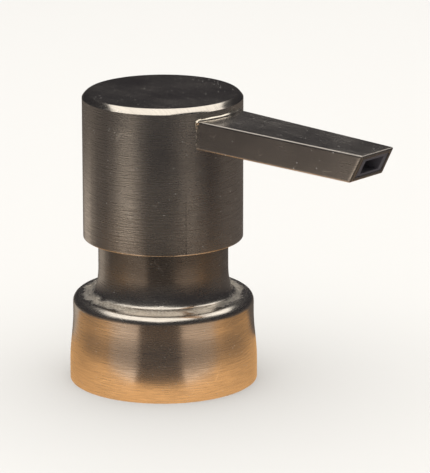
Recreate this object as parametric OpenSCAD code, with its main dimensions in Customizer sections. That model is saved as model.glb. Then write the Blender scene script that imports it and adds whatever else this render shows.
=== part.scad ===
// Soap pump dispenser: a hand pump with a brushed metal head, spout and screw collar.
// The origin is the centre of the collar's rim, +Z is up and the spout points along +X.

/* [Head] */
// Outer diameter of the head
head_d = 28; // [27:0.1:28.4]
// Height of the open rim of the head above the collar's rim, with the pump up
head_rim_z = 25.6; // [25.4:0.1:27]
// Height of the head from its open rim to its top face
head_h = 25.8; // [25.8:0.1:27]
// Wall of the rolled head tube
head_wall = 0.6; // [0.5:0.1:0.8]
// Thickness of the welded top disc, and the radius of its rounded edge
disc_t = 0.9; // [0.6:0.1:1.2]

/* [Spout] */
// Distance from the pump's axis to the spout's upper lip
spout_reach = 47.6; // [42:0.2:54]
// Width of the spout where it leaves the head
spout_root_w = 11.3; // [10:0.1:12]
// Width of the spout at its lip
spout_tip_w = 8.4; // [8:0.1:10]
// Height of the spout's sides
spout_h = 4.95; // [4.7:0.05:5.2]
// Height of the spout's top face where it leaves the head
spout_top_z = 49.1; // [49:0.1:49.5]
// Fall of the spout below level, in degrees
spout_fall = 1.1; // [0:0.1:2]
// Lean of the cut end back from square, in degrees
spout_mitre = 26; // [10:1:30]
// Wall of the spout tube
spout_wall = 0.8; // [0.6:0.1:0.9]
// Width of the outlet in the nozzle liner
outlet_w = 4.8; // [4:0.1:5]
// Height of the outlet in the nozzle liner
outlet_h = 2.4; // [2:0.1:2.5]

/* [Collar] */
// Outer diameter of the collar at its rim
rim_d = 33; // [32.8:0.1:34]
// Outer diameter of the collar under its shoulder
shoulder_d = 31.8; // [31.6:0.1:32.4]
// Height of the collar's shoulder
shoulder_z = 15.3; // [15.3:0.1:16]
// Outer radius of the shoulder's rounded edge
shoulder_round = 1.5; // [1.2:0.1:1.8]
// Outer diameter of the neck
neck_d = 22.8; // [22.6:0.1:23]
// Length of neck inside the head, with the pump up
neck_overlap = 4.4; // [4:0.1:4.6]
// Thickness of the collar's sheet metal
sheet = 0.5; // [0.4:0.1:0.5]

/* [Screw thread] */
// Inner diameter of the closure at the root of its thread
thread_root_d = 28; // [27.9:0.1:28.2]
// Inner diameter over the crest of the closure's thread
thread_crest_d = 26; // [25.9:0.1:26.2]
// Rise of the thread in one turn
thread_pitch = 4.233; // [4.2:0.01:4.3]
// Turns of thread
thread_turns = 1.2; // [1:0.1:1.3]
// Height of the sealing face, which rests on the bottle's lip, above the collar's rim
seal_z = 9.6; // [9.4:0.1:9.8]

/* [Pump] */
// Travel of the head
stroke = 9.2; // [8:0.1:9.2]
// Diameter of the barrel's bore
bore_d = 12.4; // [12.2:0.1:12.6]
// Outer diameter of the barrel where it fills the bottle's mouth
plug_d = 17.2; // [17:0.1:17.6]
// Diameter of the hollow stem
stem_d = 7.6; // [7.5:0.1:7.7]
// Lift of the inlet ball off its seat
ball_lift = 1.5; // [1:0.1:1.5]
// Diameter of the inlet ball
ball_d = 5; // [4.9:0.1:5.1]
// Slip of the piston along its seat, which opens the outlet ports
piston_slip = 1; // [0.8:0.1:1]
// Diameter of the dip tube
tube_d = 6.4; // [6.2:0.1:6.4]
// Reach of the dip tube below the collar's rim
tube_reach = 80; // [60:1:180]

/* [Hidden] */
$fn = 96;

// Colours
satin_nickel = [0.42, 0.39, 0.36];
white_plastic = [0.92, 0.92, 0.90];
black_plastic = [0.10, 0.10, 0.11];
soft_plastic = [0.86, 0.88, 0.88];
foam_grey = [0.75, 0.75, 0.73];
bright_steel = [0.78, 0.78, 0.80];

// Head
head_r = head_d / 2;
sleeve_in_r = head_r - head_wall;
head_top_z = head_rim_z + head_h;
disc_z = head_top_z - disc_t;
core_r = sleeve_in_r - 0.05;
core_top_z = disc_z - 0.05;
skirt_in_r = 12.1;
core_skirt_z = head_rim_z + 1.4;

// Spout
spout_run = (spout_reach - head_r) / cos(spout_fall);
spout_edge = 0.45;
spout_inner_edge = 0.15;
spout_root_in = 3;
liner_gap = 0.05;
liner_in = 4.2;
liner_set_back = 0.2;

// Collar
rim_r = rim_d / 2;
shoulder_r = shoulder_d / 2;
neck_r = neck_d / 2;
neck_top_z = head_rim_z + neck_overlap;
flare_z0 = 3;
flare_z1 = 12;
foot_w = 1.2;
foot_h = 5;

// Guide bush in the neck's open end
bush_lip = 0.6;
bush_bore_r = 5.5;
core_floor_z = neck_top_z + bush_lip + stroke + 0.6;
core_floor_t = 1.6;

// Stem and the hub that it fits
stem_r = stem_d / 2;
stem_bore_r = 2.5;
hub_r = bush_bore_r - 0.3;
hub_z = neck_top_z - 1.5;
stem_top_z = core_floor_z + 2.1;
stem_end_z = -2.6;
fit = 0.08;
bead_z = 36;
bead_out = 0.25;
bead_flat = 0.2;
bead_half = 0.5;
o_ring_z = 39.6;
o_ring_wire_r = 0.42;
o_ring_r = 3.4;
channel_z = spout_top_z - spout_h / 2;
channel_r = 1.25;

// Pump body
flange_r = 12.9;
gasket_t = 0.8;
gasket_in_r = 9.6;
flange_z = seal_z + gasket_t;
flange_t = 1.6;
flange_top_z = flange_z + flange_t;
plug_r = plug_d / 2;
socket_r = 7.6;
bore_r = bore_d / 2;
barrel_r = bore_r + 1.2;
ledge_z = -29.6;
chamber_r = 3.2;
cone_top_z = -32;
cone_end_z = -34.5;
inlet_r = 1.9;
tube_stop_z = -36;
tube_socket_r = tube_d / 2 + 0.03;
barrel_end_z = -46;
barrel_end_r = 4.7;
plug_low_z = -2;
socket_floor_z = -1.4;
vent_z = -5;
vent_r = 0.4;

// Piston, its seat and the spring
slip_stop = stem_end_z - piston_slip - 0.2;
seat_z = -9.5;
hub_len = slip_stop - seat_z;
seat_t = 1.1;
stalk_r = stem_bore_r - 0.02;
wire_r = 0.45;
coil_r = 4.2;
coils = 6;
closed_coils = 0.8;
retainer_t = 3;
spring_low = ledge_z + retainer_t;
spring_high = seat_z - seat_t;

// Inlet ball, resting in its cone
ball_r = ball_d / 2;
cone_tan = (chamber_r - inlet_r) / (cone_top_z - cone_end_z);
cone_angle = atan(cone_tan);
ball_clear = 0.02;
ball_z = cone_end_z + ((ball_r + ball_clear) / cos(cone_angle) - inlet_r) / cone_tan;

// Stem guide
guide_top_z = 18.5;
guide_r = 5.7;
wiper_r = 4.7;
wiper_t = 1.4;
snap_z = 1;
snap_out = 0.15;
snap_flat = 0.2;
snap_half = 0.6;

// Closure
web_z = flange_top_z + 0.1;
web_t = 1.6;
web_hole_r = 10.6;
skirt_r = shoulder_r - sheet - 0.1;
closure_top_z = shoulder_z - sheet - 0.1;

// Points along an arc of an ellipse, from angle a0 to angle a1
function arc(cx, cy, rx, ry, a0, a1, steps) =
    [for (i = [0:steps]) let(a = a0 + (a1 - a0) * i / steps) [cx + rx * cos(a), cy + ry * sin(a)]];

// The same points in the opposite order
function backwards(points) = [for (i = [len(points) - 1:-1:0]) points[i]];

// Triangles over the skin of a bar whose rings each have n points
function bar_faces(rings, n) = concat(
    [[for (j = [0:n - 1]) n - 1 - j]],
    [for (i = [0:rings - 2], j = [0:n - 1], k = [0, 1])
        let(a = i * n + j, b = i * n + (j + 1) % n)
        k == 0 ? [a, b, a + n] : [b, b + n, a + n]],
    [[for (j = [0:n - 1]) (rings - 1) * n + j]]);

// Section of the collar's sheet, set in from its outer skin by t
function collar_skin(t) = concat(
    [[rim_r - t, 0]],
    [for (i = [0:12]) let(u = i / 12)
        [rim_r - t - (rim_r - shoulder_r) * (1 - cos(180 * u)) / 2,
            flare_z0 + (flare_z1 - flare_z0) * u]],
    arc(shoulder_r - shoulder_round, shoulder_z - shoulder_round,
        shoulder_round - t, shoulder_round - t, 0, 90, 12),
    arc(neck_r + foot_w, shoulder_z + foot_h, foot_w + t, foot_h + t, 270, 180, 16),
    [[neck_r - t, neck_top_z]]);

module lathe(points) {
    rotate_extrude() polygon(points);
}

// Ring of rounded section from radius r_in to radius r_out, half high at its foot and flat high at its top
module ring_bead(r_in, r_out, z, half, flat) {
    lathe([[r_in, z - half], [r_out, z - flat], [r_out, z + flat], [r_in, z + half]]);
}

module disc(r, z0, z1) {
    translate([0, 0, z0]) cylinder(h = z1 - z0, r = r);
}

module tube(r_out, r_in, z0, z1) {
    difference() {
        disc(r_out, z0, z1);
        disc(r_in, z0 - 1, z1 + 1);
    }
}

// Places its children in the spout's own frame: x runs out from the head, z is 0 on the top face
module at_spout() {
    translate([head_r, 0, spout_top_z]) rotate([0, spout_fall, 0]) children();
}

// Thin slice of the spout at x, set in from its outer skin
module spout_slice(x, inset, edge) {
    w = (spout_root_w + (spout_tip_w - spout_root_w) * x / spout_run) / 2 - inset;
    top = -inset;
    low = inset - spout_h;
    translate([x, 0, 0]) rotate([90, 0, 90]) linear_extrude(0.01)
        polygon([[edge - w, low], [w - edge, low], [w, low + edge], [w, top - edge],
            [w - edge, top], [edge - w, top], [-w, top - edge], [-w, low + edge]]);
}

// Tapered bar of the spout between two distances from the head
module spout_bar(inset, x0, x1, edge) {
    hull() {
        spout_slice(x0, inset, edge);
        spout_slice(x1, inset, edge);
    }
}

// Everything past the slanted end of the spout, moved back along it
module past_lip(back) {
    translate([spout_run - back, 0, 0]) rotate([0, spout_mitre, 0])
        translate([0, -20, -20]) cube([40, 40, 40]);
}

module head_top_disc() {
    color(satin_nickel) lathe(concat([[0, disc_z], [head_r, disc_z]],
        arc(head_r - disc_t, disc_z, disc_t, disc_t, 0, 90, 8), [[0, head_top_z]]));
}

module head_sleeve() {
    window_gap = 0.03;
    color(satin_nickel) difference() {
        tube(head_r, sleeve_in_r, head_rim_z, disc_z);
        at_spout() spout_bar(-window_gap, -spout_root_in, 2, spout_edge);
    }
}

module spout_tube() {
    color(satin_nickel) difference() {
        at_spout() difference() {
            spout_bar(0, -spout_root_in, spout_run + 1, spout_edge);
            spout_bar(spout_wall, -spout_root_in - 1, spout_run + 2, spout_inner_edge);
            past_lip(0);
        }
        disc(sleeve_in_r, 0, head_top_z);
    }
}

module nozzle_liner() {
    color(black_plastic) at_spout() difference() {
        spout_bar(spout_wall + liner_gap, -liner_in, spout_run + 1, spout_inner_edge);
        translate([-liner_in - 1, -outlet_w / 2, -(spout_h + outlet_h) / 2])
            cube([spout_run + liner_in + 3, outlet_w, outlet_h]);
        past_lip(liner_set_back);
    }
}

module actuator_core() {
    duct_w = 10.6;
    duct_h = 15;
    rib_angles = [90, 180, 270];
    rib_t = 1;
    rib_h = 8;
    color(white_plastic) difference() {
        union() {
            tube(core_r, skirt_in_r, core_skirt_z, core_top_z);
            disc(core_r - 0.1, core_floor_z, core_floor_z + core_floor_t);
            disc(hub_r, hub_z, core_top_z);
            intersection() {
                disc(core_r - 0.1, core_floor_z, core_top_z);
                union() {
                    translate([0, -duct_w / 2, core_floor_z]) cube([core_r, duct_w, duct_h]);
                    for (a = rib_angles)
                        rotate([0, 0, a]) translate([0, -rib_t / 2, core_floor_z])
                            cube([core_r, rib_t, rib_h]);
                }
            }
        }
        disc(stem_r + fit, hub_z - 1, stem_top_z + 0.1);
        disc(stem_bore_r, hub_z, channel_z);
        translate([0, 0, channel_z]) rotate([0, 90, 0]) cylinder(h = core_r, r = channel_r);
        ring_bead(stem_r, stem_r + fit + bead_out, bead_z, bead_half + 0.2, bead_flat + 0.1);
        at_spout() spout_bar(spout_wall, -liner_in - 0.1, 1, spout_inner_edge);
    }
}

module stem() {
    groove_r = o_ring_r - o_ring_wire_r;
    groove_half = 0.5;
    color(white_plastic) difference() {
        union() {
            disc(stem_r, stem_end_z, stem_top_z);
            ring_bead(stem_r, stem_r + bead_out, bead_z, bead_half, bead_flat);
        }
        disc(stem_bore_r, stem_end_z - 1, stem_top_z + 1);
        tube(stem_r + 1, groove_r, o_ring_z - groove_half, o_ring_z + groove_half);
    }
}

module stem_o_ring() {
    color(black_plastic) translate([0, 0, o_ring_z])
        rotate_extrude() translate([o_ring_r, 0]) circle(r = o_ring_wire_r, $fn = 24);
}

module piston() {
    hole_r = stalk_r + 0.04;
    sleeve_r = 4.1;
    sleeve_top = hub_len - 0.02;
    web_low = 2;
    web_high = 3.4;
    lip_out = bore_r - 0.05;
    wall_out = bore_r - 0.3;
    lip_in = bore_r - 0.7;
    wall_in = bore_r - 1;
    lip_len = 1.3;
    skirt_low = 0.1;
    skirt_high = 5.4;
    color(soft_plastic) translate([0, 0, seat_z + 0.02]) lathe([
        [hole_r, 0], [sleeve_r, 0], [sleeve_r, web_low], [wall_in, web_low], [lip_in, skirt_low],
        [lip_out, skirt_low], [wall_out, skirt_low + lip_len], [wall_out, skirt_high - lip_len],
        [lip_out, skirt_high], [lip_in, skirt_high], [wall_in, web_high],
        [sleeve_r, web_high], [sleeve_r, sleeve_top], [hole_r, sleeve_top]]);
}

module piston_seat() {
    stalk_top = 4;
    seat_r = 4.7;
    passage_r = 1.5;
    port_r = 0.5;
    pilot_r = 3.1;
    pilot_len = 2.4;
    color(white_plastic) difference() {
        union() {
            disc(stalk_r, seat_z, stalk_top);
            disc(seat_r, spring_high, seat_z);
            disc(pilot_r, spring_high - pilot_len, spring_high);
        }
        disc(passage_r, seat_z + 0.1, stalk_top + 1);
        translate([0, 0, seat_z + port_r + 0.1]) rotate([0, 90, 0])
            cylinder(h = 2 * stalk_r + 1, r = port_r, center = true, $fn = 24);
    }
}

// Height of the spring wire's centre after t turns
function coil_z(t) =
    let(dead = closed_coils, rise = 2.04 * wire_r, low = spring_low + wire_r,
        high = spring_high - wire_r)
    t < dead ? low + rise * t :
    t > coils - dead ? high - rise * (coils - t) :
    low + rise * dead + (high - low - 2 * rise * dead) * (t - dead) / (coils - 2 * dead);

module return_spring() {
    steps = 24;
    sides = 8;
    rings = coils * steps + 1;
    color(bright_steel) polyhedron(
        points = [for (i = [0:rings - 1], j = [0:sides - 1])
            let(t = i / steps, a = 360 * t, b = 360 * j / sides, r = coil_r + wire_r * cos(b))
            [r * cos(a), r * sin(a), coil_z(t) + wire_r * sin(b)]],
        faces = bar_faces(rings, sides));
}

module chaplet() {
    wall_out = socket_r - 0.05;
    wall_in = 6.3;
    wall_low = -1.2;
    floor_z = 4;
    cap_r = web_hole_r - 0.3;
    cap_t = 1.3;
    color(white_plastic) difference() {
        union() {
            tube(wall_out, wall_in, wall_low, flange_top_z);
            ring_bead(wall_in + 0.5, wall_out + snap_out, snap_z, snap_half, snap_flat);
            disc(cap_r, flange_top_z, flange_top_z + cap_t);
            disc(guide_r, floor_z, guide_top_z);
        }
        disc(stem_r + fit, floor_z - 1, guide_top_z + 1);
        disc(wiper_r + 0.03, guide_top_z - wiper_t, guide_top_z + 1);
    }
}

module stem_wiper() {
    color(soft_plastic) tube(wiper_r, stem_r + 0.04, guide_top_z - wiper_t, guide_top_z - 0.1);
}

module pump_body() {
    ledge_t = 1.2;
    color(white_plastic) difference() {
        lathe([
            [inlet_r, tube_stop_z], [tube_socket_r, tube_stop_z], [tube_socket_r, barrel_end_z],
            [barrel_end_r, barrel_end_z], [barrel_end_r, cone_end_z], [barrel_r, ledge_z - ledge_t],
            [barrel_r, plug_low_z], [plug_r, plug_low_z], [plug_r, flange_z], [flange_r, flange_z],
            [flange_r, flange_top_z], [socket_r, flange_top_z], [socket_r, socket_floor_z],
            [bore_r, socket_floor_z], [bore_r, ledge_z], [chamber_r, ledge_z], [chamber_r, cone_top_z],
            [inlet_r, cone_end_z]]);
        ring_bead(socket_r - 0.5, socket_r + snap_out, snap_z, snap_half + 0.1, snap_flat + 0.1);
        translate([0, 0, vent_z]) rotate([0, 90, 0]) cylinder(h = barrel_r + 1, r = vent_r, $fn = 24);
    }
}

module inlet_ball() {
    color(bright_steel) translate([0, 0, ball_z]) sphere(r = ball_r, $fn = 48);
}

module ball_retainer() {
    inner_r = 3.4;
    bar_z = ball_z + ball_r + ball_lift + 0.4;
    bar_t = 1;
    bar_h = 1.2;
    bar_len = 2 * inner_r + 1;
    color(white_plastic) union() {
        tube(bore_r - 0.02, inner_r, ledge_z, ledge_z + retainer_t);
        for (a = [0, 90])
            rotate([0, 0, a]) translate([-bar_len / 2, -bar_t / 2, bar_z]) cube([bar_len, bar_t, bar_h]);
    }
}

module dip_tube() {
    tube_r = tube_d / 2;
    tube_wall = 0.9;
    slant = 40;
    color(soft_plastic) difference() {
        tube(tube_r, tube_r - tube_wall, -tube_reach, tube_stop_z);
        translate([-tube_r, 0, -tube_reach]) rotate([0, -slant, 0])
            translate([0, -10, -20]) cube([20, 20, 20]);
    }
}

module bottle_gasket() {
    color(foam_grey) tube(flange_r - 0.3, gasket_in_r, seal_z, flange_z);
}

// Thread ridge inside the closure, which rises to its full height over one twelfth of a turn
module thread_ridge() {
    steps = 48;
    rings = round(thread_turns * steps) + 1;
    fade = steps / 12;
    root_r = thread_root_d / 2 - 0.05;
    crest_r = thread_crest_d / 2;
    back_r = root_r + 0.35;
    root_half = 1.1;
    crest_half = 0.45;
    first_z = 2.2;
    polyhedron(
        points = [for (i = [0:rings - 1], j = [0:3])
            let(a = 360 * i / steps, z = first_z + thread_pitch * i / steps,
                grow = min(1, i / fade, (rings - 1 - i) / fade),
                tip_r = root_r + (crest_r - root_r) * grow,
                section = [[back_r, -root_half], [back_r, root_half],
                    [tip_r, crest_half], [tip_r, -crest_half]])
            [section[j][0] * cos(a), section[j][0] * sin(a), z + section[j][1]]],
        faces = bar_faces(rings, 4));
}

module closure() {
    foot_z0 = 0.4;
    foot_z1 = 1.6;
    foot_z2 = 2.2;
    foot_r = rim_r - sheet - 0.1;
    chamfer = 1.1;
    color(white_plastic) difference() {
        lathe([[0, foot_z0], [foot_r, foot_z0], [foot_r, foot_z1], [skirt_r, foot_z2],
            [skirt_r, closure_top_z - chamfer], [skirt_r - chamfer, closure_top_z],
            [flange_r, closure_top_z], [flange_r, web_z + web_t], [0, web_z + web_t]]);
        difference() {
            disc(thread_root_d / 2, 0, web_z);
            thread_ridge();
        }
        disc(web_hole_r, web_z - 1, closure_top_z + 1);
    }
}

module collar_shell() {
    color(satin_nickel) lathe(concat(collar_skin(0), backwards(collar_skin(sheet))));
}

module neck_bush() {
    bush_r = neck_r - sheet - 0.05;
    waist_r = bush_r - 1;
    foot_z = neck_top_z - 4;
    foot_t = 3.4;
    color(white_plastic) lathe([[bush_bore_r, foot_z + foot_t], [waist_r, foot_z + foot_t],
        [waist_r, foot_z], [bush_r, foot_z], [bush_r, neck_top_z],
        [neck_r, neck_top_z], [neck_r, neck_top_z + bush_lip], [bush_bore_r, neck_top_z + bush_lip]]);
}

head_top_disc();
head_sleeve();
spout_tube();
nozzle_liner();
actuator_core();
stem();
stem_o_ring();
piston();
piston_seat();
return_spring();
chaplet();
stem_wiper();
pump_body();
inlet_ball();
ball_retainer();
dip_tube();
bottle_gasket();
closure();
collar_shell();
neck_bush();
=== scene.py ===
"""Looks of the soap pump: brushed metal shells, moulded inner pieces, a pale floor and soft light."""
import math

import bmesh
import bpy
from mathutils import Matrix, Vector

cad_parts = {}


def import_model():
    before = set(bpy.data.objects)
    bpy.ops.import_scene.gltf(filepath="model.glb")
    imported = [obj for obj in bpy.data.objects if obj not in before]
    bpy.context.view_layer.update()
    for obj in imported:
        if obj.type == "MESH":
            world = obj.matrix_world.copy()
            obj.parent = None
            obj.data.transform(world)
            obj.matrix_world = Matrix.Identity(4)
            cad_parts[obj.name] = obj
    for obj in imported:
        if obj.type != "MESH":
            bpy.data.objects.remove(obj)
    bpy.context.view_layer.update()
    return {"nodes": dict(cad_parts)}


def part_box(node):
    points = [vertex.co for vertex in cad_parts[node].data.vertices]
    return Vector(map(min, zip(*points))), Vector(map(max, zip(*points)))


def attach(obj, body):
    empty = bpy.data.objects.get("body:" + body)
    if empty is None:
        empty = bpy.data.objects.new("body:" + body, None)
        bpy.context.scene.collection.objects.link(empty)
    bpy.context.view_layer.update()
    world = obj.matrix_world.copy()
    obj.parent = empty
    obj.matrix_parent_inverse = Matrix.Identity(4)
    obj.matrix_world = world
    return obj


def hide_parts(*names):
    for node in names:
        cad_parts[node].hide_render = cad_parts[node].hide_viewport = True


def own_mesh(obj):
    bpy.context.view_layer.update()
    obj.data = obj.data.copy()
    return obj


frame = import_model()

MM = 0.001
TURN = 2 * math.pi


def low(node):
    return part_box(node)[0]


def high(node):
    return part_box(node)[1]


# ---------------------------------------------------------------- sizes, in metres
HEAD_R = high("head_sleeve")[0]
RIM_Z = low("head_sleeve")[2]
DISC_Z = low("head_top_disc")[2]
TOP_Z = high("head_top_disc")[2]
HEAD_WALL = 0.6 * MM

COLLAR_RIM_R = high("collar_shell")[0]
SHOULDER_R = 15.9 * MM
SHOULDER_Z = 15.3 * MM
SHOULDER_ROUND = 1.5 * MM
NECK_R = 11.4 * MM
NECK_TOP_Z = high("collar_shell")[2]
FOOT_W = 1.2 * MM
FOOT_H = 5.0 * MM
FLARE = (3.0 * MM, 12.0 * MM)
SHEET = 0.5 * MM
CROWN = 0.3 * MM
FLARE_STEPS = 24
EDGE_HOLD = 0.15 * MM

SPOUT_LIP_X = high("spout_tube")[0]
SPOUT_TOP_Z = 49.1 * MM
SPOUT_H = 4.95 * MM
SPOUT_ROOT_W = 11.3 * MM
SPOUT_TIP_W = 8.4 * MM
SPOUT_WALL = 0.8 * MM
SPOUT_FALL = math.radians(1.1)
SPOUT_MITRE = math.radians(26)
SPOUT_RUN = (SPOUT_LIP_X - HEAD_R) / math.cos(SPOUT_FALL)

SPRING_LOW = low("return_spring")[2]
SPRING_HIGH = high("return_spring")[2]
WIRE_R = 0.45 * MM
COIL_R = 4.2 * MM
COILS = 6
CLOSED_COILS = 0.8

SEAM_ANGLE = math.radians(-32)
LATHE_SEGMENTS = 256


# ---------------------------------------------------------------- mesh helpers
def make_object(name, verts, faces, smooth_angle=35.0):
    mesh = bpy.data.meshes.new(name)
    mesh.from_pydata([tuple(v) for v in verts], [], faces)
    mesh.validate()
    mesh.update()
    bm = bmesh.new()
    bm.from_mesh(mesh)
    bmesh.ops.recalc_face_normals(bm, faces=bm.faces)
    bm.to_mesh(mesh)
    bm.free()
    for poly in mesh.polygons:
        poly.use_smooth = True
    mesh.set_sharp_from_angle(angle=math.radians(smooth_angle))
    obj = bpy.data.objects.new(name, mesh)
    bpy.context.scene.collection.objects.link(obj)
    return obj


def arc(cx, cy, rx, ry, a0, a1, steps):
    points = []
    for i in range(steps + 1):
        a = math.radians(a0 + (a1 - a0) * i / steps)
        points.append((cx + rx * math.cos(a), cy + ry * math.sin(a)))
    return points


def lathe(name, profile, closed=True, shift=None):
    """Turns an outline of (radius, height) points round Z. shift(r, z, angle) may move each point."""
    verts = []
    faces = []
    count = len(profile)
    for j in range(LATHE_SEGMENTS):
        a = TURN * j / LATHE_SEGMENTS
        for point in profile:
            r, z = shift(*point, a) if shift else point
            verts.append((r * math.cos(a), r * math.sin(a), z))
    spans = count if closed else count - 1
    for j in range(LATHE_SEGMENTS):
        k = (j + 1) % LATHE_SEGMENTS
        for i in range(spans):
            n = (i + 1) % count
            faces.append((j * count + i, k * count + i, k * count + n, j * count + n))
    return make_object(name, verts, faces)


def weld_pole(obj):
    """Joins the points that a lathe leaves on its axis."""
    bm = bmesh.new()
    bm.from_mesh(obj.data)
    bmesh.ops.remove_doubles(bm, verts=bm.verts, dist=1e-7)
    bm.to_mesh(obj.data)
    bm.free()


# ---------------------------------------------------------------- material helpers
class Nodes:
    """Small wrapper that adds shader nodes to a new material or world, and links their inputs."""

    def __init__(self, owner):
        owner.use_nodes = True
        self.owner = owner
        self.tree = owner.node_tree
        self.tree.nodes.clear()

    def add(self, kind, out=0, settings=None, **inputs):
        """Inputs are given by name, with _ for a space, or by number as i0, i1 and so on."""
        node = self.tree.nodes.new(kind)
        for key, value in (settings or {}).items():
            setattr(node, key, value)
        for key, value in inputs.items():
            by_number = key[0] == "i" and key[1:].isdigit()
            socket = node.inputs[int(key[1:]) if by_number else key.replace("_", " ")]
            if isinstance(value, bpy.types.NodeSocket):
                self.tree.links.new(value, socket)
            else:
                socket.default_value = value
        return node.outputs[out]

    def math(self, operation, a, b=0.0):
        return self.add("ShaderNodeMath", settings={"operation": operation}, i0=a, i1=b)

    def stretch(self, vector, scale):
        return self.add("ShaderNodeVectorMath", settings={"operation": "MULTIPLY"}, i0=vector, i1=scale)

    def axes(self, vector):
        return self.add("ShaderNodeSeparateXYZ", Vector=vector).node.outputs

    def noise(self, vector, detail=2.0, rough=0.5, scale=1.0):
        return self.add("ShaderNodeTexNoise", Vector=vector, Scale=scale, Detail=detail, Roughness=rough)

    def ramp(self, value, low_in, high_in, low_out, high_out):
        return self.add("ShaderNodeMapRange", settings={"clamp": True}, i0=value, i1=low_in, i2=high_in,
                        i3=low_out, i4=high_out)

    def mix_colour(self, factor, a, b):
        node = self.tree.nodes.new("ShaderNodeMix")
        node.data_type = "RGBA"
        for socket, value in ((node.inputs[0], factor), (node.inputs[6], a), (node.inputs[7], b)):
            if isinstance(value, bpy.types.NodeSocket):
                self.tree.links.new(value, socket)
            else:
                socket.default_value = value
        return node.outputs[2]

    def finish(self, shader):
        output = self.tree.nodes.new("ShaderNodeOutputMaterial")
        self.tree.links.new(shader, output.inputs[0])
        return self.owner


def new_material(name):
    return Nodes(bpy.data.materials.new(name))


def own_place(n):
    """Position in the object's own space, in metres."""
    return n.add("ShaderNodeTexCoord", out="Object")


def rgb(r, g, b):
    return (r, g, b, 1.0)


SPECKS_PER_M = 1100.0
SPECK_SIZE = 0.135
SCRATCHES_PER_M = 170.0
DUST = rgb(0.55, 0.53, 0.50)
SCRATCH = rgb(0.90, 0.86, 0.80)
# dark colour of the tube's seam, and painted shade on the collar's neck
SEAM_DARK_AND_NECK_SHADE = rgb(0.16, 0.145, 0.13)
# painted shade for the spout's rounded edges, dimming their highlight
PAINTED_EDGE_SHADE = rgb(0.30, 0.28, 0.26)
CHALK_DARK = rgb(0.26, 0.23, 0.185)
CHALK_LIGHT = rgb(0.74, 0.67, 0.57)


def specks(n, place):
    """1 on small scattered dots of dust, 0 elsewhere."""
    cell = n.add("ShaderNodeTexVoronoi", out="Distance", Vector=place, Scale=SPECKS_PER_M)
    pick = n.noise(place, detail=0.0, scale=SPECKS_PER_M * 0.37)
    dot = n.ramp(cell, SPECK_SIZE * 0.6, SPECK_SIZE, 1.0, 0.0)
    some = n.ramp(pick, 0.54, 0.57, 0.0, 1.0)
    return n.math("MULTIPLY", dot, some)


def scratches(n, place):
    """1 along short, thin, scattered scratches, 0 elsewhere."""
    edge = n.add("ShaderNodeTexVoronoi", out="Distance", settings={"feature": "DISTANCE_TO_EDGE"},
                 Vector=place, Scale=SCRATCHES_PER_M)
    line = n.ramp(edge, 0.004, 0.010, 1.0, 0.0)
    pick = n.noise(place, detail=1.0, scale=SCRATCHES_PER_M * 1.7)
    some = n.ramp(pick, 0.62, 0.66, 0.0, 1.0)
    return n.math("MULTIPLY", line, some)


def seam_line(n, place):
    """1 along the rolled tube's butt seam, which is only plain near the open rim."""
    axes = n.axes(place)
    angle = n.math("ARCTAN2", axes[1], axes[0])
    off = n.math("ABSOLUTE", n.math("SUBTRACT", angle, SEAM_ANGLE))
    line = n.ramp(off, 0.003, 0.009, 1.0, 0.0)
    return n.math("MULTIPLY", line, n.ramp(axes[2], RIM_Z + 7 * MM, RIM_Z + 13 * MM, 0.45, 0.06))


def residue_ring(n, place):
    """1 on the pitted, unpolished ring where the neck meets the shoulder."""
    axes = n.axes(place)
    radius = n.math("SQRT", n.math("ADD", n.math("MULTIPLY", axes[0], axes[0]),
                                   n.math("MULTIPLY", axes[1], axes[1])))
    ragged = n.noise(place, detail=3.0, rough=0.7, scale=420.0)
    radius = n.math("ADD", radius, n.ramp(ragged, 0.3, 0.7, -0.6 * MM, 0.6 * MM))
    inner = n.ramp(radius, 12.1 * MM, 12.9 * MM, 0.0, 1.0)
    outer = n.ramp(radius, 13.6 * MM, 14.3 * MM, 1.0, 0.0)
    above = n.ramp(axes[2], SHOULDER_Z - 0.3 * MM, SHOULDER_Z - 0.1 * MM, 0.0, 1.0)
    flat = n.ramp(axes[2], SHOULDER_Z + 0.4 * MM, SHOULDER_Z + 1.1 * MM, 1.0, 0.0)
    patchy = n.ramp(n.noise(place, detail=1.0, scale=120.0), 0.36, 0.56, 0.35, 1.0)
    band = n.math("MULTIPLY", n.math("MULTIPLY", inner, outer), n.math("MULTIPLY", above, flat))
    return n.math("MULTIPLY", band, patchy)


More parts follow.
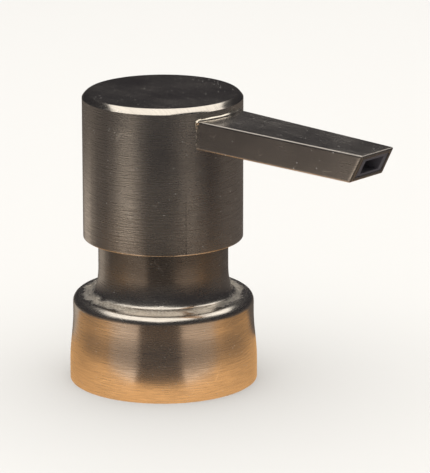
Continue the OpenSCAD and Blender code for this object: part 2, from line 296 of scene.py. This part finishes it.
def brushed_metal(name, long_way, short_way, tint, rough, aniso, relief, contrast, dust, extra=None):
    """Satin metal brushed in one direction, with a few scratches and dust.

    long_way and short_way scale two layers of streaks, per metre. extra changes the surface before the
    scratches and dust, and also returns how far it is a crust that isn't metal.
    """
    n = new_material(name)
    place = own_place(n)
    fine = n.noise(n.stretch(place, short_way), detail=2.0, rough=0.6)
    broad = n.noise(n.stretch(place, long_way), detail=2.0, rough=0.55)
    patch = n.noise(place, detail=2.0, scale=110.0)
    streak = n.math("ADD", n.math("MULTIPLY", fine, 0.5), n.math("MULTIPLY", broad, 0.5))
    shade = n.ramp(streak, 0.36, 0.64, 0.0, 1.0)
    dark = tuple(c * (1 - 0.7 * contrast) for c in tint)
    light = tuple(min(1.0, c * (1 + 1.3 * contrast)) for c in tint)
    colour = n.mix_colour(shade, rgb(*dark), rgb(*light))
    roughness = n.math("ADD", n.ramp(streak, 0.36, 0.64, rough + 0.05, rough - 0.05),
                       n.ramp(patch, 0.35, 0.7, -0.02, 0.04))
    height = n.math("ADD", n.math("MULTIPLY", fine, 0.5), n.math("MULTIPLY", broad, 0.7))
    crust = 0.0
    if extra:
        colour, roughness, height, crust = extra(n, place, colour, roughness, height)
    mark = scratches(n, place)
    speck = n.math("MULTIPLY", specks(n, place), dust)
    colour = n.mix_colour(n.math("MULTIPLY", mark, 0.6), colour, SCRATCH)
    colour = n.mix_colour(speck, colour, DUST)
    height = n.math("ADD", height, speck)
    height = n.math("SUBTRACT", height, n.math("MULTIPLY", mark, 0.8))
    metal = n.math("SUBTRACT", 1.0, n.math("MAXIMUM", n.math("MULTIPLY", speck, 0.85), crust))
    bump = n.add("ShaderNodeBump", Strength=relief, Distance=0.012 * MM, Height=height)
    tangent = n.add("ShaderNodeTangent", settings={"direction_type": "RADIAL", "axis": "Z"})
    shader = n.add("ShaderNodeBsdfPrincipled", Base_Color=colour, Metallic=metal, Roughness=roughness,
                   Normal=bump, Anisotropic=aniso, Tangent=tangent)
    shader.node.inputs["Anisotropic Rotation"].default_value = 0.25
    return n.finish(shader)


def head_seam(n, place, colour, roughness, height):
    """Butt seam of the rolled tube."""
    line = seam_line(n, place)
    colour = n.mix_colour(line, colour, SEAM_DARK_AND_NECK_SHADE)
    return colour, roughness, n.math("SUBTRACT", height, n.math("MULTIPLY", line, 0.8)), 0.0


def collar_ring(n, place, colour, roughness, height):
    """Painted shade on the neck, whose colour darkens going up from the shoulder, and a pitted ring round its
    foot.
    """
    # painted shade: the neck's colour darkens going up from the shoulder
    neck_shade = n.ramp(n.axes(place)[2], SHOULDER_Z + 1.5 * MM, SHOULDER_Z + 5 * MM, 0.0, 0.42)
    colour = n.mix_colour(neck_shade, colour, SEAM_DARK_AND_NECK_SHADE)
    ring = residue_ring(n, place)
    pits = n.noise(place, detail=3.0, rough=0.8, scale=3400.0)
    chalk = n.mix_colour(n.ramp(pits, 0.35, 0.65, 0.0, 1.0), CHALK_DARK, CHALK_LIGHT)
    colour = n.mix_colour(n.math("MULTIPLY", ring, 0.85), colour, chalk)
    roughness = n.math("ADD", roughness, n.math("MULTIPLY", ring, 0.22))
    height = n.math("ADD", height, n.math("MULTIPLY", n.math("MULTIPLY", ring, pits), 5.0))
    return colour, roughness, height, n.math("MULTIPLY", ring, n.ramp(pits, 0.42, 0.62, 0.0, 0.8))


def rough_edges_painted_dark(n, place, colour, roughness, height):
    """Painted shade on the rounded edges of the box-shaped spout: their colour is darkened to dim the
    highlight they catch, and they are made rougher.
    """
    normal = n.add("ShaderNodeTexCoord", out="Normal")
    axes = n.axes(n.add("ShaderNodeVectorMath", settings={"operation": "ABSOLUTE"}, i0=normal))
    flatness = n.math("MAXIMUM", axes[2], n.math("MAXIMUM", axes[1], axes[0]))
    edge_mask = n.ramp(flatness, 0.75, 0.88, 1.0, 0.0)
    # painted shade: the rounded edges' colour is darkened to dim the highlight they catch
    colour = n.mix_colour(edge_mask, colour, PAINTED_EDGE_SHADE)
    roughness = n.math("ADD", roughness, n.math("MULTIPLY", edge_mask, 0.30))
    return colour, roughness, height, 0.0


def moulded_plastic(name, colour, rough=0.42, cloud=0.06, through=0.0):
    """Injection-moulded plastic with faint flow marks and a fine surface grain. through lets light in."""
    n = new_material(name)
    place = own_place(n)
    flow = n.noise(place, detail=4.0, rough=0.55, scale=140.0)
    texture = n.noise(place, detail=2.0, scale=3200.0)
    darker = tuple(c * (1 - cloud) for c in colour)
    lighter = tuple(min(1.0, c * (1 + cloud * 0.5)) for c in colour)
    base = n.mix_colour(n.ramp(flow, 0.3, 0.7, 0.0, 1.0), rgb(*darker), rgb(*lighter))
    roughness = n.ramp(flow, 0.3, 0.7, rough - 0.05, rough + 0.07)
    bump = n.add("ShaderNodeBump", Strength=0.15, Distance=0.04 * MM, Height=texture)
    shader = n.add("ShaderNodeBsdfPrincipled", Base_Color=base, Roughness=roughness, Normal=bump)
    shader.node.inputs["Subsurface Weight"].default_value = through
    shader.node.inputs["Subsurface Radius"].default_value = (2 * MM, 2 * MM, 2 * MM)
    return n.finish(shader)


def polished_steel(name, tint, rough):
    """Bright metal with soft, slightly duller patches."""
    n = new_material(name)
    place = own_place(n)
    marks = n.noise(place, detail=3.0, scale=900.0)
    duller = rgb(*(c * 0.85 for c in tint))
    base = n.mix_colour(n.ramp(marks, 0.35, 0.65, 0.0, 1.0), duller, rgb(*tint))
    roughness = n.ramp(marks, 0.3, 0.7, rough * 0.7, rough * 1.4)
    shader = n.add("ShaderNodeBsdfPrincipled", Base_Color=base, Metallic=1.0, Roughness=roughness)
    return n.finish(shader)


def closed_foam(name, colour):
    """Fine closed-cell foam."""
    n = new_material(name)
    place = own_place(n)
    cells = n.add("ShaderNodeTexVoronoi", out="Distance", Vector=place, Scale=2600.0)
    darker = rgb(*(c * 0.8 for c in colour))
    base = n.mix_colour(n.ramp(cells, 0.1, 0.7, 0.0, 1.0), darker, rgb(*colour))
    bump = n.add("ShaderNodeBump", Strength=0.4, Distance=0.06 * MM, Height=cells)
    shader = n.add("ShaderNodeBsdfPrincipled", Base_Color=base, Roughness=0.8, Normal=bump)
    return n.finish(shader)


# ---------------------------------------------------------------- pieces
def head_cap():
    """Welded top disc, whose edge is polished down by hand to something between a chamfer and an arc."""
    rise = TOP_Z - DISC_Z
    steps = 14
    chamfer = 0.5

    def polish_wave(r, z, a):
        """The polished edge runs a little high and low round the weld."""
        if not DISC_Z + 1e-6 < z < TOP_Z - 1e-6:
            return r, z
        wave = 0.5 + 0.3 * math.sin(3 * a + 0.7) + 0.2 * math.sin(7 * a + 2.1)
        share = (TOP_Z - z) / rise * (z - DISC_Z) / rise * 4
        cut = share * 0.07 * MM * wave
        return r - cut, z - cut

    profile = [(0.0, TOP_Z), (HEAD_R * 0.5, TOP_Z), (HEAD_R - rise - 0.2 * MM, TOP_Z)]
    for k, (x, z) in enumerate(arc(HEAD_R - rise, DISC_Z, rise, rise, 90, 0, steps)):
        t = k / steps
        profile.append((x * (1 - chamfer) + (HEAD_R - rise * (1 - t)) * chamfer,
                        z * (1 - chamfer) + (TOP_Z - rise * t) * chamfer))
    profile += [(HEAD_R * 0.5, DISC_Z), (0.0, DISC_Z)]
    obj = lathe("head_cap", profile, closed=False, shift=polish_wave)
    weld_pole(obj)
    return obj


def head_tube():
    """Rolled tube with a rounded open rim and a window that the spout passes through."""
    inner = HEAD_R - HEAD_WALL
    half = SPOUT_ROOT_W / 2
    win_low = SPOUT_TOP_Z - SPOUT_H
    win_high = SPOUT_TOP_Z
    soft = 0.15 * MM
    rows = [(HEAD_R, DISC_Z), (HEAD_R, win_high), (HEAD_R, win_low), (HEAD_R, RIM_Z + soft + 0.2 * MM)]
    rows += arc(HEAD_R - soft, RIM_Z + soft, soft, soft, 0, -90, 5)
    rows += arc(inner + soft, RIM_Z + soft, soft, soft, -90, -180, 5)
    rows += [(inner, RIM_Z + soft + 0.2 * MM), (inner, win_low), (inner, win_high), (inner, DISC_Z)]
    count = len(rows)
    segments = LATHE_SEGMENTS
    edge = math.asin(half / HEAD_R)
    step = TURN / segments
    angles = [TURN * j / segments for j in range(segments)]
    first = round(edge / step)
    angles[first] = edge
    angles[segments - first] = TURN - edge
    verts = [(r * math.cos(a), r * math.sin(a), z) for a in angles for r, z in rows]
    faces = []
    outer_gap = 1
    inner_gap = count - 3
    for j in range(segments):
        k = (j + 1) % segments
        in_window = j < first or j >= segments - first
        for i in range(count):
            m = (i + 1) % count
            if in_window and i in (outer_gap, inner_gap):
                continue
            faces.append((j * count + i, k * count + i, k * count + m, j * count + m))
        if in_window:
            for a, b in ((1, count - 2), (2, count - 3)):
                faces.append((j * count + a, k * count + a, k * count + b, j * count + b))
    for j in (first, segments - first):
        faces.append((j * count + 1, j * count + 2, j * count + count - 3, j * count + count - 2))
    return make_object("head_tube", verts, faces)


def spout_outline(w, h, inset, top_r, low_r):
    """Rounded section of the spout as (y, z) points, z 0 on its top face."""
    half = w / 2 - inset
    top = -inset
    bottom = inset - h
    least_r = 0.12 * MM
    rt = max(top_r - inset, least_r)
    rl = max(low_r - inset, least_r)
    hold = EDGE_HOLD
    points = []
    corners = ((half - rt, top - rt, rt, 0), (rt - half, top - rt, rt, 90),
               (rl - half, bottom + rl, rl, 180), (half - rl, bottom + rl, rl, 270))
    for cy, cz, r, start in corners:
        a0 = math.radians(start)
        a1 = math.radians(start + 90)
        points.append((cy + r * math.cos(a0) + hold * math.sin(a0),
                       cz + r * math.sin(a0) - hold * math.cos(a0)))
        points += arc(cy, cz, r, r, start, start + 90, 6)
        points.append((cy + r * math.cos(a1) - hold * math.sin(a1),
                       cz + r * math.sin(a1) + hold * math.cos(a1)))
    return points


def spout_place():
    """Where the spout's own axes lie: x along it from the head's wall, z up from its top face."""
    return Matrix.Translation((HEAD_R, 0, SPOUT_TOP_Z)) @ Matrix.Rotation(SPOUT_FALL, 4, "Y")


def spout_shell():
    """Tapered tube from inside the head's wall to a slanted lip with softened edges."""
    place = spout_place()
    inner_r = HEAD_R - HEAD_WALL + 0.02 * MM
    lip_out, lip_in = 0.48 * MM, 0.12 * MM
    corner_r = 0.25 * MM

    def ring(inset, back, share):
        """Section at a share of the length, set in by inset, whose lip is held back by back."""
        verts = []
        end_x = SPOUT_RUN - back
        for index in range(len(spout_outline(SPOUT_ROOT_W, SPOUT_H, inset, corner_r, corner_r))):
            w = SPOUT_ROOT_W
            for _ in range(3):
                y, z = spout_outline(w, SPOUT_H, inset, corner_r, corner_r)[index]
                root = math.sqrt(inner_r ** 2 - y ** 2) - HEAD_R
                tip = end_x + z * math.tan(SPOUT_MITRE)
                x = root + (tip - root) * share
                w = SPOUT_ROOT_W + (SPOUT_TIP_W - SPOUT_ROOT_W) * x / SPOUT_RUN
            verts.append(place @ Vector((x, y, z)))
        return verts

    lengths = [0.0, 0.02] + [i / 14 for i in range(1, 14)] + [0.985]
    quarter = [math.radians(15 * k) for k in range(7)]
    rings = [ring(0.0, lip_out, t) for t in lengths]
    rings += [ring(lip_out * (1 - math.cos(a)), lip_out * (1 - math.sin(a)), 1.0) for a in quarter]
    rings += [ring(SPOUT_WALL - lip_in * (1 - math.sin(a)), lip_in * (1 - math.cos(a)), 1.0) for a in quarter]
    rings += [ring(SPOUT_WALL, lip_in, t) for t in reversed(lengths)]
    n = len(rings[0])
    verts = [v for r in rings for v in r]
    faces = []
    count = len(rings)
    for i in range(count):
        m = (i + 1) % count
        for j in range(n):
            k = (j + 1) % n
            faces.append((i * n + j, i * n + k, m * n + k, m * n + j))
    return make_object("spout_shell", verts, faces)


def spout_weld():
    """Thin bead where the spout meets the head."""
    bead_side = 0.12 * MM
    bead_top = 0.42 * MM
    place = spout_place()
    outline = spout_outline(SPOUT_ROOT_W, SPOUT_H, 0.0, 0.55 * MM, 0.35 * MM)
    path = []
    for index, (y, z) in enumerate(outline):
        nxt = outline[(index + 1) % len(outline)]
        steps = 10 if math.dist((y, z), nxt) > 1 * MM else 1
        for k in range(steps):
            yy = y + (nxt[0] - y) * k / steps
            zz = z + (nxt[1] - z) * k / steps
            x = math.sqrt(HEAD_R ** 2 - yy ** 2) - HEAD_R
            path.append(place @ Vector((x, yy, zz)))
    sides = 10
    verts = []
    faces = []
    count = len(path)
    for i in range(count):
        ahead = (path[(i + 1) % count] - path[i - 1]).normalized()
        out = Vector((path[i].x, path[i].y, 0)).normalized()
        side = ahead.cross(out).normalized()
        height = (path[i].z - SPOUT_TOP_Z) / SPOUT_H
        bead = bead_side + (bead_top - bead_side) * max(0.0, 1 + 4 * min(0.0, height + 0.05))
        ripple = 1.0 + 0.12 * math.sin(i * 1.7) + 0.08 * math.sin(i * 0.61)
        for j in range(sides):
            a = TURN * j / sides
            verts.append(path[i] + (out * math.cos(a) + side * math.sin(a)) * bead * ripple)
    for i in range(count):
        m = (i + 1) % count
        for j in range(sides):
            k = (j + 1) % sides
            faces.append((i * sides + j, i * sides + k, m * sides + k, m * sides + j))
    return make_object("spout_weld", verts, faces)


def collar_skin(t):
    """The collar's section, set in from its outer skin by t."""
    points = [(COLLAR_RIM_R - t, 0.0), (COLLAR_RIM_R - t, EDGE_HOLD)]
    for i in range(FLARE_STEPS + 1):
        u = i / FLARE_STEPS
        drop = (COLLAR_RIM_R - SHOULDER_R) * (1 - math.cos(math.pi * u)) / 2
        points.append((COLLAR_RIM_R - t - drop, FLARE[0] + (FLARE[1] - FLARE[0]) * u))
    points.append((SHOULDER_R - t, SHOULDER_Z - SHOULDER_ROUND - EDGE_HOLD))
    points += arc(SHOULDER_R - SHOULDER_ROUND, SHOULDER_Z - SHOULDER_ROUND,
                  SHOULDER_ROUND - t, SHOULDER_ROUND - t, 0, 80, 14)
    points += arc(NECK_R + FOOT_W, SHOULDER_Z + FOOT_H, FOOT_W + t, FOOT_H - CROWN + t, 270, 180, 28)
    points += [(NECK_R - t, NECK_TOP_Z - EDGE_HOLD), (NECK_R - t, NECK_TOP_Z)]
    return points


def collar():
    """One spun sheet: rim, flare, shoulder, foot and neck."""
    outer = collar_skin(0.0)
    inner = collar_skin(SHEET)
    inner.reverse()
    return lathe("collar", outer + inner)


def coil_height(turns):
    """Height of the wire's centre after a number of turns, with closed coils at both ends."""
    rise = 2.04 * WIRE_R
    bottom = SPRING_LOW + WIRE_R
    top = SPRING_HIGH - WIRE_R
    if turns < CLOSED_COILS:
        return bottom + rise * turns
    if turns > COILS - CLOSED_COILS:
        return top - rise * (COILS - turns)
    share = (turns - CLOSED_COILS) / (COILS - 2 * CLOSED_COILS)
    return bottom + rise * CLOSED_COILS + (top - bottom - 2 * rise * CLOSED_COILS) * share


def coil_spring():
    steps = 48
    sides = 12
    count = COILS * steps + 1
    verts = []
    faces = []
    for i in range(count):
        turns = i / steps
        a = TURN * turns
        for j in range(sides):
            b = TURN * j / sides
            r = COIL_R + WIRE_R * math.cos(b)
            verts.append((r * math.cos(a), r * math.sin(a), coil_height(turns) + WIRE_R * math.sin(b)))
    for i in range(count - 1):
        for j in range(sides):
            k = (j + 1) % sides
            faces.append((i * sides + j, i * sides + k, (i + 1) * sides + k, (i + 1) * sides + j))
    faces.append(tuple(range(sides)))
    faces.append(tuple((count - 1) * sides + j for j in range(sides)))
    return make_object("coil_spring", verts, faces)


def set_material(obj, material):
    obj.data.materials.clear()
    obj.data.materials.append(material)


def dress(node, material):
    """Gives a CAD node's object its material."""
    obj = frame["nodes"][node]
    if not obj.material_slots:
        obj.data.materials.append(material)
    for slot in obj.material_slots:
        slot.link = "OBJECT"
        slot.material = material


# ---------------------------------------------------------------- materials and the pieces they go on
NICKEL = (0.60, 0.56, 0.51)
SPOUT_TINT = (0.52, 0.485, 0.45)
RING_LONG = (270.0, 270.0, 4800.0)
RING_SHORT = (430.0, 430.0, 10500.0)
SPOUT_LONG = (120.0, 3200.0, 3200.0)
SPOUT_SHORT = (200.0, 8500.0, 8500.0)
TOP_LONG = (200.0, 3600.0, 200.0)
TOP_SHORT = (320.0, 9000.0, 320.0)

head_metal = brushed_metal("head_metal", RING_LONG, RING_SHORT, NICKEL, rough=0.25, aniso=0.35,
                           relief=0.4, contrast=0.21, dust=0.30, extra=head_seam)
cap_metal = brushed_metal("cap_metal", TOP_LONG, TOP_SHORT, NICKEL, rough=0.16, aniso=0.0,
                          relief=0.12, contrast=0.06, dust=0.75)
spout_metal = brushed_metal("spout_metal", SPOUT_LONG, SPOUT_SHORT, SPOUT_TINT, rough=0.21, aniso=0.0,
                            relief=0.3, contrast=0.15, dust=0.70, extra=rough_edges_painted_dark)
collar_metal = brushed_metal("collar_metal", RING_LONG, RING_SHORT, NICKEL, rough=0.24, aniso=0.35,
                             relief=0.5, contrast=0.14, dust=0.25, extra=collar_ring)
white_plastic = moulded_plastic("white_plastic", (0.80, 0.80, 0.77))
black_plastic = moulded_plastic("black_plastic", (0.085, 0.078, 0.088), cloud=0.2)
soft_plastic = moulded_plastic("soft_plastic", (0.78, 0.81, 0.82), rough=0.30, through=0.3)
tube_plastic = moulded_plastic("tube_plastic", (0.80, 0.83, 0.84), rough=0.26, through=0.3)
rubber = moulded_plastic("black_rubber", (0.018, 0.018, 0.018), rough=0.6, cloud=0.2)
foam = closed_foam("gasket_foam", (0.70, 0.70, 0.68))
spring_steel = polished_steel("spring_steel", (0.62, 0.62, 0.63), 0.22)
ball_steel = polished_steel("ball_steel", (0.80, 0.80, 0.82), 0.08)
weld_metal = polished_steel("weld_metal", (0.86, 0.80, 0.70), 0.24)

for piece, body, node, slot, material in (
        (head_cap(), "head", "head_top_disc", "brushed_disc", cap_metal),
        (head_tube(), "head", "head_sleeve", "brushed_head", head_metal),
        (spout_shell(), "head", "spout_tube", "brushed_spout", spout_metal),
        (spout_weld(), "head", None, None, weld_metal),
        (collar(), "collar", "collar_shell", "brushed_collar", collar_metal),
        (coil_spring(), "pump", "return_spring", "spring_steel", spring_steel)):
    set_material(piece, material)
    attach(piece, body)
    if node:
        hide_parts(node)
    if node == "return_spring":
        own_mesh(piece)

for node, material in (
        ("nozzle_liner", black_plastic), ("actuator_core", white_plastic), ("stem", white_plastic),
        ("stem_o_ring", rubber), ("piston", soft_plastic), ("piston_seat", white_plastic),
        ("chaplet", white_plastic), ("stem_wiper", soft_plastic), ("pump_body", white_plastic),
        ("inlet_ball", ball_steel), ("ball_retainer", white_plastic), ("dip_tube", tube_plastic),
        ("bottle_gasket", foam), ("closure", white_plastic), ("neck_bush", white_plastic)):
    dress(node, material)


# ---------------------------------------------------------------- stage, light and camera
VIEW_AZIMUTH = math.radians(40.9)
VIEW_DOWN = math.radians(15.64)
AIM = Vector((6.8, 6.0, 25.3)) * MM
DISTANCE = 578 * MM
SENSOR = 36.0
LENS = 276.3
SECTOR_STEPS = 12


def toward_camera(degrees_right=0.0):
    """Level direction from the object to the camera, turned to the camera's right."""
    a = VIEW_AZIMUTH + math.radians(degrees_right)
    return Vector((math.sin(a), -math.cos(a), 0.0))


def camera():
    data = bpy.data.cameras.new("camera")
    data.sensor_width = SENSOR
    data.sensor_fit = "HORIZONTAL"
    data.lens = LENS
    data.clip_start = 0.01
    obj = bpy.data.objects.new("camera", data)
    bpy.context.scene.collection.objects.link(obj)
    back = toward_camera() * math.cos(VIEW_DOWN) + Vector((0, 0, math.sin(VIEW_DOWN)))
    obj.location = AIM + back * DISTANCE
    obj.rotation_euler = back.to_track_quat("Z", "Y").to_euler()
    bpy.context.scene.camera = obj


def softbox(name, place, aim, size, power, colour):
    data = bpy.data.lights.new(name, "AREA")
    data.shape = "RECTANGLE"
    data.size, data.size_y = size
    data.energy = power
    data.color = colour
    obj = bpy.data.objects.new(name, data)
    bpy.context.scene.collection.objects.link(obj)
    obj.location = place
    obj.rotation_euler = (Vector(place) - Vector(aim)).to_track_quat("Z", "Y").to_euler()
    obj.visible_camera = False


def floor():
    """Pale floor with a hole under the collar, seen only from above."""
    inner, outer = 14 * MM, 3.0
    segments = 128
    verts = []
    for j in range(segments):
        a = TURN * j / segments
        verts.append((inner * math.cos(a), inner * math.sin(a), 0))
        verts.append((outer * math.cos(a), outer * math.sin(a), 0))
    faces = []
    for j in range(segments):
        k = (j + 1) % segments
        faces.append((2 * j, 2 * j + 1, 2 * k + 1, 2 * k))
    mesh = bpy.data.meshes.new("floor")
    mesh.from_pydata(verts, [], faces)
    mesh.update()
    obj = bpy.data.objects.new("floor", mesh)
    bpy.context.scene.collection.objects.link(obj)
    n = new_material("floor")
    base = n.add("ShaderNodeBsdfDiffuse", Color=rgb(0.55, 0.547, 0.54))
    clear = n.add("ShaderNodeBsdfTransparent")
    under = n.add("ShaderNodeNewGeometry", out="Backfacing")
    set_material(obj, n.finish(n.add("ShaderNodeMixShader", i0=under, i1=base, i2=clear)))
    obj.visible_glossy = False


def sector(near, far, turned, half_angle):
    """Corners of a ring segment in front of the object, as (right, front) points."""
    points = []
    for radius, start, end in ((near, -half_angle, half_angle), (far, half_angle, -half_angle)):
        for k in range(SECTOR_STEPS + 1):
            a = math.radians(turned + start + (end - start) * k / SECTOR_STEPS)
            points.append((radius * math.sin(a), radius * math.cos(a)))
    return points


def card(name, corners, below, colour, side_strength, front_strength=None, fade=1.0):
    """Level glowing card that only reflections see: the pale wood under the real object, or a gap in it.

    corners are along the camera's right and front. The glow goes from side_strength beside the object to
    front_strength in front of it, times fade farther out. below keeps the cards apart in height.
    """
    if front_strength is None:
        front_strength = side_strength
    side = toward_camera(90)
    ahead = toward_camera()
    verts = [side * r + ahead * f - Vector((0, 0, below)) for r, f in corners]
    obj = make_object(name, verts, [tuple(range(len(verts)))])
    n = new_material(name)
    place = own_place(n)
    front = n.add("ShaderNodeVectorMath", out="Value", settings={"operation": "DOT_PRODUCT"},
                  i0=place, i1=ahead)
    radius = n.add("ShaderNodeVectorMath", out="Value", settings={"operation": "LENGTH"}, i0=place)
    strength = n.math("MULTIPLY", n.ramp(front, 0.0, 24 * MM, side_strength, front_strength),
                      n.ramp(radius, 41 * MM, 58 * MM, 1.0, fade))
    set_material(obj, n.finish(n.add("ShaderNodeEmission", Color=rgb(*colour), Strength=strength)))
    obj.visible_camera = False
    obj.visible_diffuse = False
    obj.visible_shadow = False


def world():
    """Even white, but for reflections a dim room that is warmer low down, except in front."""
    scene_world = bpy.data.worlds.new("studio")
    n = Nodes(scene_world)
    bpy.context.scene.world = scene_world
    ray = n.add("ShaderNodeTexCoord", out="Generated")
    facing = n.add("ShaderNodeVectorMath", out="Value", settings={"operation": "DOT_PRODUCT"},
                   i0=ray, i1=toward_camera())
    low_down = n.ramp(n.axes(ray)[2], -0.25, 0.05, 1.0, 0.0)
    aside = n.ramp(facing, -0.2, 0.5, 1.0, 0.0)
    room = n.mix_colour(n.math("MULTIPLY", low_down, aside), DIM_ROOM, LOW_SIDES)
    dim = n.add("ShaderNodeBackground", Color=room, Strength=1.0)
    bright = n.add("ShaderNodeBackground", Color=rgb(1, 1, 1), Strength=1.0)
    glossy = n.add("ShaderNodeLightPath").node.outputs["Is Glossy Ray"]
    out = n.tree.nodes.new("ShaderNodeOutputWorld")
    n.tree.links.new(n.add("ShaderNodeMixShader", i0=glossy, i1=bright, i2=dim), out.inputs[0])


def strip(name, turned, top_z, layers):
    """Soft-edged upright light below the object's level, where the upright walls reflect it.

    layers holds (half angle, radiance) pairs, one light inside the other.
    """
    height = top_z - STRIP_LOW_Z
    place = toward_camera(turned) * STRIP_AWAY + Vector((0, 0, (top_z + STRIP_LOW_Z) / 2))
    aim = Vector((0, 0, place.z))
    for index, (half_angle, radiance) in enumerate(layers):
        step_back = toward_camera(turned) * index * 2 * MM
        width = 2 * STRIP_AWAY * math.tan(math.radians(half_angle))
        power = radiance * math.pi * width * height
        softbox(f"{name}_{index}", place + step_back, aim + step_back * 0.5, (width, height), power,
                WARM_LIGHT)


WARM_LIGHT = (1.0, 0.87, 0.73)
BOX_LIGHT = (1.0, 0.96, 0.89)
OVERHEAD_SIZE = (1.1, 1.4)
OVERHEAD_RADIANCE = 1.5
STRIP_AWAY = 0.30
STRIP_LOW_Z = -0.45
DIM_ROOM = rgb(0.028, 0.026, 0.029)
LOW_SIDES = rgb(0.120, 0.102, 0.090)
BESIDE = (15 * MM, 67 * MM)
BEYOND = (69 * MM, 100 * MM)
NECK_TINT = (1.0, 0.80, 0.63)

bpy.context.scene.view_settings.view_transform = "Standard"
centre = Vector((0, 0, 25 * MM))
camera()
world()
floor()
BOARD = ((-58 * MM, -25 * MM), (58 * MM, -25 * MM), (58 * MM, 26.5 * MM), (-58 * MM, 26.5 * MM))
card("warm_card", BOARD, 0.05 * MM, (1.0, 0.555, 0.235), 0.72, 1.20, fade=0.55)
card("left_wing", sector(*BESIDE, -44, 18), 0.10 * MM, (1.0, 0.75, 0.56), 1.22, fade=0.55)
card("right_wing", sector(*BESIDE, 46, 26), 0.10 * MM, (1.0, 0.73, 0.53), 1.22, fade=0.46)
card("front_gap", sector(*BESIDE, -3, 23), 0.15 * MM, (1.0, 0.68, 0.48), 0.13, fade=0.95)
card("neck_left", sector(*BEYOND, -60, 34), 0.10 * MM, NECK_TINT, 0.17)
card("neck_right", sector(*BEYOND, 62, 29), 0.10 * MM, NECK_TINT, 0.10)
card("neck_front", sector(*BEYOND, 3.5, 29.5), 0.10 * MM, (1.0, 0.88, 0.76), 0.01)
card("rim_front", sector(104 * MM, 132 * MM, 1.5, 20), 0.10 * MM, (1.0, 0.86, 0.72), 0.22)
strip("left_strip", -52, -0.053, ((31, 0.17), (20, 0.42), (11, 0.62)))
strip("right_strip", 38, -0.056, ((27, 0.16), (16, 0.24), (8, 0.24)))
strip("back_strip", -138, -0.040, ((27, 0.12), (14, 0.26)))
softbox("overhead", centre + Vector((0, 0, 0.6)), centre, OVERHEAD_SIZE,
        OVERHEAD_RADIANCE * math.pi * OVERHEAD_SIZE[0] * OVERHEAD_SIZE[1], BOX_LIGHT)
